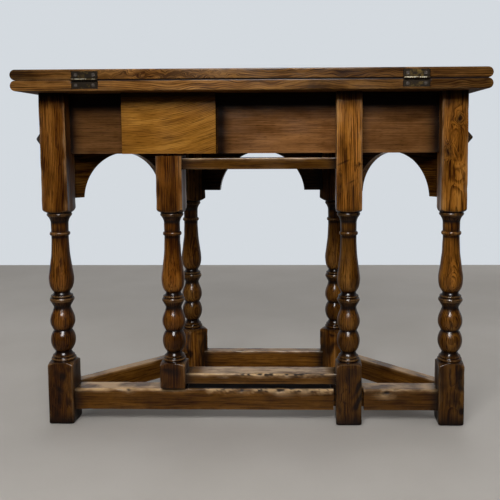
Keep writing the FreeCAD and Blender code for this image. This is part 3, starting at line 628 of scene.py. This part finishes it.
def bar(start, end, depth, height, stations=None, front=None, bottom=None, arris=1.6, chip=2.0, tone=1.0,
        inner_tone=None, worn_top=0.0, front_edge=0.5, caked=0.0, sooty=(0.0, 1.0), slope=0.0, sweep=0.0,
        dirty=(), gouges=(), chewed=(0.0, 0.0, 1.0), end_dirt=0.9, pith=None, seed=1):
    """A bar skin from start to end (mm, middle of the section): a rounded rectangle carried along a line.

    Depth is across (the front at minus half of it), height is up. Front and bottom may be given per station,
    in mm from the middle; stations run from 0 to 1. Tone, worn_top and caked may change along the bar, and
    inner_tone is the front's own tone, partly a painted shade. The grain rises by slope and bends by sweep.
    The places of dirty, each (mm along, reach), are darker; end_dirt is a painted shade where the bar meets
    a post, caked a painted shadow on the top, where another bar lies above, and sooty a painted shadow of
    the leaf, an (amount, reach) down from the top. By worn_top the top is worn pale and carries a painted
    sheen. The upper front arris is worn by front_edge. Gouges are (mm along, height, reach, depth) uneven
    dents in the front, twice as long as high. Between two places (mm along) that arris is chewed: two
    ripples added together make it dark where they are high and bare where they are low.
    """
    start, end = np.array(start, float) * MM, np.array(end, float) * MM
    line = end - start
    length = np.linalg.norm(line)
    t = np.linspace(0, 1, int(length / (5 * MM)) + 2) if stations is None else stations
    across = np.cross(UP, line / length)
    front = np.broadcast_to(-depth / 2 if front is None else front, len(t))
    bottom = np.broadcast_to(-height / 2 if bottom is None else bottom, len(t))
    tone, worn_top, caked = (along_bar(value, t * length / MM) for value in (tone, worn_top, caked))
    radius = worn_radius(t * length, arris * MM, chip * MM, seed)
    radius = radius * np.array([1, 1, 0.7, 0.7]) * (1 + worn_top * np.array([0.5, 1.0, 0, 0]))
    radius = np.minimum(radius, 0.45 * np.minimum(depth / 2 - front, height / 2 - bottom)[:, None] * MM)
    section, close = rounded_section(front * MM, depth / 2 * MM, bottom * MM, height / 2 * MM, radius, 20)
    run = np.broadcast_to((t * length)[:, None], close.shape)
    bruise = scar = np.zeros(close.shape)
    for place, rise, reach, deep in gouges:
        away = np.stack([(run - place * MM) / 2, section[..., 0] + depth / 2 * MM,
                         section[..., 1] - rise * MM], -1)
        far = (away ** 2).sum(-1)
        rough = 1 + 0.7 * ripple(np.stack([run, section[..., 0], section[..., 1]], -1), 0.014, seed + 5)
        bell = np.exp(-far / (reach * MM) ** 2) * np.clip(rough, 0, 1.3)
        section = section + (deep * MM * bell)[..., None] * np.array([0.8, -0.6])
        bruise = np.maximum(bruise, bell)
        scar = np.maximum(scar, np.exp(-far / (1.6 * reach * MM) ** 2))
    points = start + t[:, None, None] * line + section[..., :1] * across + section[..., 1:] * UP
    side, up = np.moveaxis(section, -1, 0)
    lift = up - slope * run - sweep * (run - length / 2) ** 2 / length
    drawn = np.random.default_rng(seed).uniform((0, 0.03, 0.03), (3, 0.09, 0.08))
    grain = np.stack([run, side, lift], -1) + (drawn if pith is None else np.array(pith))
    behind, above = side / MM + depth / 2, height / 2 - up / MM
    # A painted shade where the bar meets a post.
    ends = np.exp(-(np.minimum(t, 1 - t) * length / (15 * MM)) ** 2)[:, None]
    upper = np.clip(1.2 - above, 0, 1)
    foremost = (side < 0) & (up > 0)
    edges = np.where(foremost, front_edge, np.where(up > 0, 0.5, 0.1))
    # A pale worn top, partly a painted sheen.
    wear = np.maximum(np.maximum(close * edges, upper * worn_top), 0.9 * scar * foremost)
    # A painted shadow on the top, where another bar lies above it.
    on_top = upper * np.clip((behind - 3) / 4, 0, 1) * caked
    grime = np.maximum(np.maximum(ends * end_dirt, on_top), np.clip(1.6 * bruise - 0.7, 0, 1.15))
    spots = np.stack([run, 2 * side, 2 * up], -1)
    bites = ripple(spots, 0.026, seed + 6) + 0.9 * ripple(spots, 0.011, seed + 7)
    first, last, down = chewed
    between = 1 / (1 + np.exp(-np.minimum(run / MM - first, last - run / MM) / 8))
    chewing = np.exp(-(np.maximum(behind, above) / down) ** 2) * between
    grime = np.maximum(grime, chewing * np.clip(1.8 * bites - 0.35, 0, 1.1))
    wear = np.maximum(wear, chewing * np.clip(-2.2 * bites, 0, 1.3))
    # A painted shadow of the leaf, down from the top.
    soot, soot_reach = sooty
    grime = np.maximum(grime, soot * np.clip(2.5 - 2.5 * above / soot_reach, 0, 1))
    # Darker places along the bar.
    for place, reach in dirty:
        grime = np.maximum(grime, np.exp(-((run - place * MM) / (reach * MM)) ** 2))
    # The front's own tone, partly a painted shade.
    if inner_tone is not None:
        tone = np.where(side < (1 - depth / 2) * MM, inner_tone, tone)
    matte = np.maximum(scar, chewing)
    return points, dict(grain=grain, wear=wear, grime=grime, tone=tone, matte=matte)


def planed(name, ends, body="frame", finish=oak_bars, slot="oak_frame", depth=None, made="_planed", **more):
    """A bar with its solid's own height and depth, made a piece. Ends are two x or two (x, y) places."""
    middle, size = extent(name)
    places = [(end, middle[1]) if np.isscalar(end) else end for end in ends]
    start, end = ((*place, middle[2]) for place in places)
    points, values = bar(start, end, size[1] if depth is None else depth, size[2], **more)
    skin(name + made, points, body, name, finish, slot, **values)


# %% Rail, pivot block and the gate's two rails
SUNK = 1.5
GATE_SUNK = 1.9
reach_x = front_x - HALF + SUNK
block_low, block_high = box_mm("pivot_block")
gate_ends = (box_mm("gate_pivot_leg")[1][0] - SUNK, gate_low[0] + GATE_SUNK)

# Painted shade: the tone darkens the rail towards both ends; a painted shadow of the leaf lies on its top.
planed("front_rail", (-reach_x, reach_x), finish=oak_rail, arris=1.2, sooty=(1.0, 40), seed=21,
       tone=((2, 0.40), (24, 0.48), (109, 0.55), (297, 0.70), (409, 1.0), (509, 1.05), (584, 0.9),
             (699, 0.75), (736, 0.5)), dirty=((2, 12), (304, 13), (734, 14)), pith=(1.0, 0.02, 0.30))
# A painted shadow of the leaf lies on the block's top.
planed("pivot_block", (block_low[0], block_high[0]), finish=oak_block, slot="oak_light", arris=1.4, tone=0.9,
       end_dirt=0.12, sooty=(0.85, 15), slope=0.17, sweep=0.20, pith=(0.4, 0.01, 0.40), seed=23)
planed("gate_top_rail", gate_ends, "gate", arris=1.5, tone=0.31, seed=25)
# The pale worn top is partly a painted sheen.
planed("gate_stretcher", gate_ends, "gate", arris=1.4, tone=0.36, front_edge=1.1,
       stations=np.linspace(0, 1, 180), worn_top=((25, 0.1), (60, 0.68), (280, 0.68), (300, 0.3)),
       gouges=((150, 11, 5, 2), (206, 11, 4.5, 2.2), (78, 5, 3, 1.5)), chewed=(105, 290, 6), seed=27)

# %% Notched front stretcher and the three back stretchers
NOTCH_ROOM = 5.0
INTO_LEG = 10.0
BACK_REACH = 30.0
back_x, back_y, _ = extent("back_leg_right")[0]
notch = np.array([gate_low[0] - NOTCH_ROOM, gate_high[0] + NOTCH_ROOM]) / (2 * reach_x) + 0.5
stations = np.sort(np.concatenate([np.linspace(0, 1, 400), notch - 1e-6, notch + 1e-6]))
front_face = (stretcher_low[1] - stretcher_high[1]) / 2
notched = np.where((stations > notch[0]) & (stations < notch[1]), 0.0, front_face)
# Painted shadow of the gate stretcher darkens the top under it; its pale worn top is partly painted sheen.
planed("front_stretcher", (-reach_x, reach_x), stations=stations, front=notched, arris=1.7, chip=3.0,
       tone=((369, 0.46), (569, 0.36)), front_edge=1.1, chewed=(270, 545, 7), seed=31,
       worn_top=((179, 0.7), (219, 0.1), (519, 0.1), (539, 0.3), (599, 0.55)),
       caked=((204, 0.0), (234, 1.25), (519, 1.25), (534, 0.0)),
       gouges=((112, 21, 6, 3.0), (340, 21, 5, 2.5), (420, 21, 7, 3.5), (470, 21, 5, 2.5), (634, 14, 6, 2.0),
               (655, 21, 5, 2.0)))
# The side and back stretchers' pale worn tops are partly a painted sheen.
thickness = extent("back_stretcher")[1][1]
at_leg = np.array([front_x, front_y + HALF])
at_corner = np.array([back_x + INTO_LEG, back_y - INTO_LEG])
in_leg = at_leg + (-INTO_LEG, INTO_LEG)
for side, x in (("left", -1), ("right", 1)):
    planed("side_stretcher_" + side, (at_corner * (x, 1), in_leg * (x, 1))[::x], depth=thickness, arris=1.3,
           tone=0.46, worn_top=0.5, front_edge=0.3, seed=33 + x)
back_ends = (BACK_REACH - back_x, back_x - BACK_REACH)
planed("back_stretcher", back_ends, arris=1.3, tone=0.64, worn_top=0.45, seed=37)

# %% [markdown]
# ## Arched aprons
# Three boards close the frame at the back and on the slanted sides, each with a half-round arch sawn in its
# lower edge. The bar function does this too: its bottom follows the circle of the arch, with stations spaced
# by the arch's angle so that the curve stays smooth where it falls steeply.

# %% Aprons
ARCH_RADIUS = 98.5
ARCH_PLACE = (294.05, -24.93)
arch_z = rail_low[2] - ARCH_RADIUS
board_middle, board_size = extent("back_apron")


def apron(name, start, end, middle, inside, seed):
    """A board whose lower edge rises along a circle about (middle, arch_z), its crown level with the rail.

    The inner face is darker by its own tone: unwaxed wood, and a painted shade from the top above it.
    """
    thick, high = board_size[1:]
    under_edge = board_middle[2] - high / 2
    length = math.dist(start, end)
    rise = math.asin((under_edge - arch_z) / ARCH_RADIUS)
    angle = np.linspace(math.pi - rise, rise, 61)
    arch = middle + ARCH_RADIUS * np.cos(angle)
    before, after = np.linspace(0, arch[0] - 0.01, 8), np.linspace(arch[-1] + 0.01, length, 8)
    plain = np.full(8, under_edge)
    under = np.concatenate([plain, arch_z + ARCH_RADIUS * np.sin(angle), plain]) - board_middle[2]
    planed(name, (start, end), finish=oak_frame, depth=thick, made="_sawn", arris=1.2, chip=1.5, seed=seed,
           stations=np.concatenate([before, arch, after]) / length, bottom=under, tone=0.9, inner_tone=inside)


from_front = math.dist(at_leg, ARCH_PLACE)
apron("side_apron_left", at_leg * (-1, 1), at_corner * (-1, 1), from_front, 0.25, 41)
apron("side_apron_right", at_corner, at_leg, math.dist(at_corner, at_leg) - from_front, 0.25, 43)
apron("back_apron", (back_ends[0], back_y), (back_ends[1], back_y), back_ends[1], 0.12, 47)

# %% [markdown]
# ## The two leaves
# Each leaf is a board 20 mm thick with half an octagon's outline, a round nose on its five outer edges and
# a square hinge edge. Columns go round the outline; rows go from the under side over the edge to the upper
# side, and each row is the outline drawn in by its own amount. The hinge plates lie in shallow recesses.

# %% Leaf outline
CORNER_CUT = 265.0
(_, HINGE_EDGE, _), (WIDE, BACK_EDGE, _) = box_mm("lower_leaf")
OUTLINE = np.array([(-WIDE, HINGE_EDGE), (WIDE, HINGE_EDGE), (WIDE, BACK_EDGE - CORNER_CUT),
                    (WIDE - CORNER_CUT, BACK_EDGE), (CORNER_CUT - WIDE, BACK_EDGE),
                    (-WIDE, BACK_EDGE - CORNER_CUT)]) * MM


def drawn_in(hinge, nose):
    """The outline's six corners with the hinge edge moved in by one amount and the other edges by another.

    A corner is where its two moved edges cross: solve the two line equations n.p = n.corner - inset.
    """
    edge = np.roll(OUTLINE, -1, 0) - OUTLINE
    normal = np.stack([edge[:, 1], -edge[:, 0]], -1) / np.linalg.norm(edge, axis=1)[:, None]
    inset = np.stack([hinge] + [nose] * 5, -1)
    offset = np.einsum("ij,ij->i", normal, OUTLINE) - inset
    normals = np.stack([np.roll(normal, 1, 0), normal], 1)
    offsets = np.stack([np.roll(offset, 1, 1), offset], -1)
    return np.linalg.solve(normals, offsets[..., None])[..., 0]


print("leaf outline:", 2 * WIDE, "x", BACK_EDGE - HINGE_EDGE, "mm")

# %% Leaf surface
PLATE_REACH = round(FOLD_Z - box_mm("lower_hinge_plate_right")[0][2], 3)
SEAT_HALF = plate_size[0] / 2 + 0.75
SEAT_DEPTH = 2.05 * MM
KNUCKLE_ROOM = 3.35 * MM
SOFT = 1.9
CLEAN_END = -335.0
EDGE_STEPS = (60, 90, 90, 90, 60)


def leaf(name, body, tone, curls, figured, bruises, seed):
    """A leaf skin: rows at heights t about the middle; nose inset 10 - sqrt(100 - t^2), hinge arris rounded.

    Curls are (x, reach, push): there a bell curve pushes the grain up, which bends its lines on the hinge
    edge. Figured stretches are (from, to, size, push): a ripple of that size stirs the grain into curls.
    Bruises are (x, reach, amount), dark stains on that edge. Tone is a list of (x, tone).
    """
    middle, size = extent(name)
    half = round(size[2] / 2, 3)
    to_fold = round(FOLD_Z - middle[2], 3)
    fold_side = math.copysign(1, to_fold)
    plate = to_fold - fold_side * PLATE_REACH
    t = np.array([0, 1.7, 3.4, 5, 6.5, 7.7, 8.6, 9.2, 9.6, 9.85, 9.97, half])
    t = np.sort(np.concatenate([-t[1:], t, [plate - 0.01, plate + 0.01]]))
    nose = half - np.sqrt(np.maximum(half ** 2 - t ** 2, 0))
    square = SOFT - np.sqrt(np.maximum(SOFT ** 2 - np.maximum(np.abs(t) - (half - SOFT), 0) ** 2, 0))
    inner = np.array([2.0, 6.0, 14.0, 40.0, 110.0])
    t = np.concatenate([np.full(5, -half), t, np.full(5, half)]) * MM
    nose = np.concatenate([half + inner[::-1], nose, half + inner]) * MM
    square = np.concatenate([SOFT + inner[::-1], square, SOFT + inner]) * MM
    corners = drawn_in(square, nose)
    marks = [side * HINGE_X + end * SEAT_HALF + step for side in (-1, 1) for end in (-1, 1)
             for step in (-1.3, -0.01, 0.01, 1.3)]
    hinge_share = np.sort(np.concatenate([np.linspace(-WIDE, WIDE, 161)[:-1], marks])) / (2 * WIDE) + 0.5
    shares = [hinge_share] + [np.linspace(0, 1, steps + 1)[:-1] for steps in EDGE_STEPS]
    onward = np.roll(corners, -1, 1)
    flat = np.concatenate([corners[:, k, None] * (1 - share[:, None]) + onward[:, k, None] * share[:, None]
                           for k, share in enumerate(shares)], 1)
    on_hinge = np.arange(flat.shape[1]) < len(hinge_share)
    z = np.broadcast_to(t[:, None], flat.shape[:2])
    near = np.clip((fold_side * z / MM - 4) / 6, 0, 1) * 0.15 * MM * fold_side
    points = np.stack([flat[..., 0], flat[..., 1], z + near + middle[2] * MM], -1)
    x, y = points[..., 0], points[..., 1]
    off_hinge = np.abs(np.abs(x) - HINGE_X * MM)
    seat = (off_hinge < SEAT_HALF * MM) & on_hinge
    fold = np.abs(z - to_fold * MM)
    deep = np.where(fold < PLATE_REACH * MM, SEAT_DEPTH, 0)
    deep = np.maximum(deep, np.sqrt(np.maximum(KNUCKLE_ROOM ** 2 - fold ** 2, 0)))
    y[:] = np.where(seat, np.maximum(y, HINGE_EDGE * MM + deep), y)
    dents = 0.3 * MM * np.clip(ripple(points + seed, 0.05, seed), 0, 1)
    y += np.where(on_hinge & ~seat, dents, 0)
    depth_in = np.minimum(nose, square)[:, None]
    on_face = (np.abs(t) > (half - 0.01) * MM)[:, None]
    arris = np.exp(-(half * MM - np.abs(z)) / (1.6 * MM))
    arris = arris * np.exp(-np.maximum(depth_in - half * MM, 0) / (4 * MM))
    # At the left end the gap between the leaves is painted light: less painted shade and a pale arris.
    clean = x < CLEAN_END * MM
    wear = np.where(on_hinge, arris * 0.45 * ((fold > 8 * MM) | clean),
                    np.exp(-np.abs(depth_in - 3 * MM) / (5 * MM)) * 0.4)
    from_rim = (np.maximum(nose, square) - half * MM)[:, None]
    wear = np.where(on_face, np.exp(-from_rim / (6 * MM)) * 0.4, wear)
    hinge_edge = on_hinge & (y < (HINGE_EDGE + 4) * MM)
    # A painted shade in the gap between the leaves.
    grime = np.where(hinge_edge, np.where(clean, 0.4, 1.6) * np.exp(-(fold / (1.8 * MM)) ** 4), 0)
    for at, reach, amount in bruises:
        blot = np.exp(-((x - at * MM) / (reach * MM)) ** 4) * (0.65 + 0.35 * ripple(points, 0.012, seed + 3))
        grime = np.maximum(grime, amount * blot * hinge_edge)
    # A painted shade in the recesses round the hinge plates.
    rim = np.abs(off_hinge - SEAT_HALF * MM) < 0.5 * MM
    grime = np.where((seat | rim) & (fold < (PLATE_REACH + 0.5) * MM) & hinge_edge, 1.2, grime)
    grain = points + np.array([0.31 * seed, 0.05, 0.03])
    inward = (y - HINGE_EDGE * MM) / (40 * MM)
    for at, reach, push in curls:
        grain[..., 2] += push * MM * np.exp(-((x - at * MM) / (reach * MM)) ** 2 - inward)
    for low, high, wave, push in figured:
        within = np.exp(-inward) / (1 + np.exp(-np.minimum(x / MM - low, high - x / MM) / 6))
        grain[..., 2] += push * MM * within * ripple(points * [1, 0.4, 1.3], wave * MM, seed + 4)
    skin(name + "_board", points, body, name, oak_top, "oak_top", grain, wear, grime,
         np.interp(x / MM, *np.transpose(tone)), on_face * 1.2)


# %% Lower and upper leaf
leaf("lower_leaf", "frame", tone=((-452, 0.62), (-330, 0.68), (-50, 0.85), (100, 0.5), (452, 0.32)),
     curls=((-150, 60, 9), (120, 45, -8), (330, 60, 7)), figured=((-200, 60, 60, 4), (200, 440, 55, 4)),
     bruises=((128, 21, 0.75),), seed=51)
leaf("upper_leaf", "leaf",
     tone=((-452, 0.22), (-412, 0.26), (-392, 0.46), (-336, 0.46), (-290, 0.48), (-240, 0.54), (-225, 0.78),
           (-180, 0.78), (-160, 0.5), (-90, 0.46), (100, 0.47), (452, 0.45)),
     curls=((-265, 22, 6), (-160, 14, 5), (40, 50, 8), (250, 40, -7)),
     figured=((-300, -185, 26, 8), (-185, -20, 18, 5), (60, 290, 45, 5)), bruises=((-440, 16, 0.6),), seed=53)

# %% [markdown]
# ## Pegs
# A faceted peg stands out of each front leg's outer side, high up, where it pins the apron's tenon. New skins
# could be made for them too, but the solids already have the cut facets, so they only take a finish.

# %% Peg finish
peg_oak = oak("dark_peg_oak", (0.012, 0.006, 0.003), (0.040, 0.019, 0.008), (0.09, 0.05, 0.02), carries=False)
finish_nodes(peg_oak, "front_leg_pegs")

# %% [markdown]
# ## Floor, backdrop and light
# The table stands on a plain pale floor before a pale wall. The wall is the world's colour, seen by the
# camera and by gloss from the far side only, so that waxed tops catch a pale sheen while the hollows under
# the top stay dark. The floor throws little light back for the same reason. One broad soft lamp stands behind
# the camera, a little above the table. Weak ones behind the table, low beside it, overhead and over the
# floor in front show every other side. A skylight that only gloss sees puts highlights on the turnings.

# %% Floor
FLOOR_END = 1.613
FLOOR_REACH = 6
FLOOR_GRID = 25


def floor_piece():
    """A flat floor: a grid of two parameters, x and y, at height zero."""
    u, v = np.meshgrid(np.linspace(-FLOOR_REACH, FLOOR_REACH, FLOOR_GRID),
                       np.linspace(-FLOOR_REACH, FLOOR_END, FLOOR_GRID))
    points = np.stack([u, v, np.zeros_like(u)], -1).reshape(-1, 3)
    index = np.arange(FLOOR_GRID ** 2).reshape(FLOOR_GRID, FLOOR_GRID)
    quads = np.stack([index[:-1, :-1], index[:-1, 1:], index[1:, 1:], index[1:, :-1]], -1).reshape(-1, 4)
    mesh = bpy.data.meshes.new("floor")
    mesh.from_pydata(points.tolist(), [], quads.tolist())
    return placed("floor", mesh)


def seen_by(tree):
    """Two masks: rays of gloss or glass, and rays of the camera."""
    rays = add(tree, "LightPath").outputs
    return calc("MAXIMUM", rays["Is Glossy Ray"], rays["Is Transmission Ray"]), rays["Is Camera Ray"]


floor = floor_piece()
pale, tree, shader = new_finish("pale_floor")
place = add(tree, "TexCoord").outputs["Object"]
grey = add(tree, "TexNoise", Vector=place, Scale=3.0, Detail=4.0).outputs["Fac"]
shown = ramped(grey, (0.3, (0.43, 0.40, 0.365)), (0.7, (0.485, 0.455, 0.42)))
seen = calc("MAXIMUM", *seen_by(tree))
feed(shader, Base_Color=mixed("MIX", seen, (0.03, 0.029, 0.028, 1), shown), Roughness=0.6,
     Specular_IOR_Level=0.2)
floor.data.materials.append(pale)
print("floor laid")

# %% World
WALL = (0.66, 0.70, 0.74)
world = bpy.data.worlds.new("studio")
bpy.context.scene.world = world
world.use_nodes = True
tree = world.node_tree
glossy, by_camera = seen_by(tree)
way = add(tree, "TexCoord").outputs["Generated"]
way = add(tree, "SeparateXYZ", Vector=way).outputs["Y"]
far = ramped(way, (0.0, (0.05, 0.05, 0.05)), (0.5, WALL))
seen = mixed("MIX", glossy, (0.012, 0.012, 0.012, 1), far)
feed(tree.nodes["Background"], Color=mixed("MIX", by_camera, seen, (*WALL, 1)))
print("wall colour", WALL)

# %% Lamps
def lamp(name, place, target, size, power):
    """A soft rectangular lamp at a place, turned to its target (all in metres and watts)."""
    data = bpy.data.lights.new(name, "AREA")
    data.shape = "RECTANGLE"
    data.size, data.size_y = size
    data.energy = power
    made = placed(name, data)
    made.location = place
    made.rotation_mode = "QUATERNION"
    made.rotation_quaternion = (Vector(target) - Vector(place)).to_track_quat("-Z", "Y")
    made.visible_camera = False
    return made


window = lamp("window_light", (-0.1, -1.65, 1.44), (0, 0, 0.5), (1.3, 0.6), 29.5)
rear = lamp("rear_light", (0.5, 2.9, 1.9), (0, 0, 0.4), (2.4, 1.0), 26)
beside = [lamp("side_light", (side * 2.8, 0.5, 0.75), (0, 0, 0.45), (1.2, 1.0), 12) for side in (-1, 1)]
near_floor = lamp("floor_light", (0, -5.2, 3.0), (0, -5.2, 0), (10.0, 3.0), 40)
for soft in (window, rear, near_floor, *beside):
    soft.visible_glossy = False
sheen = lamp("skylight", (-0.05, -1.75, 1.75), (0, -0.1, 0.3), (0.70, 1.3), 205)
sheen.visible_diffuse = False
lamp("ceiling_light", (0, 0.2, 3.0), (0, 0, 0), (3.0, 3.0), 24)

# %% [markdown]
# ## Camera
# The photograph was taken a little right of the middle and just below the height of the top, looking slightly
# down. Its place could be tried by eye; fitting the frame's corners to the picture gave these values at once.

# %% Camera
PICTURE = 500
SENSOR = 36.0
FOCAL_PIXELS = 702.415
AXIS_PIXEL = (293.47, 196.951)
STANDS_AT = (0.1128, -1.5451, 0.57785)
yaw, pitch, roll = np.radians([1.392, 4.837, 0.273])
lens = bpy.data.cameras.new("photo_camera")
lens.sensor_width = SENSOR
lens.lens = SENSOR * FOCAL_PIXELS / PICTURE
lens.shift_x = (PICTURE / 2 - AXIS_PIXEL[0]) / PICTURE
lens.shift_y = (AXIS_PIXEL[1] - PICTURE / 2) / PICTURE
camera = placed("photo_camera", lens)
camera.matrix_world = (Matrix.Translation(STANDS_AT) @ Matrix.Rotation(yaw, 4, "Z")
                       @ Matrix.Rotation(math.pi / 2 - pitch, 4, "X") @ Matrix.Rotation(-roll, 4, "Z"))
bpy.context.scene.camera = camera
bpy.context.scene.view_settings.view_transform = "Standard"
print("camera set, lens", round(lens.lens, 2))
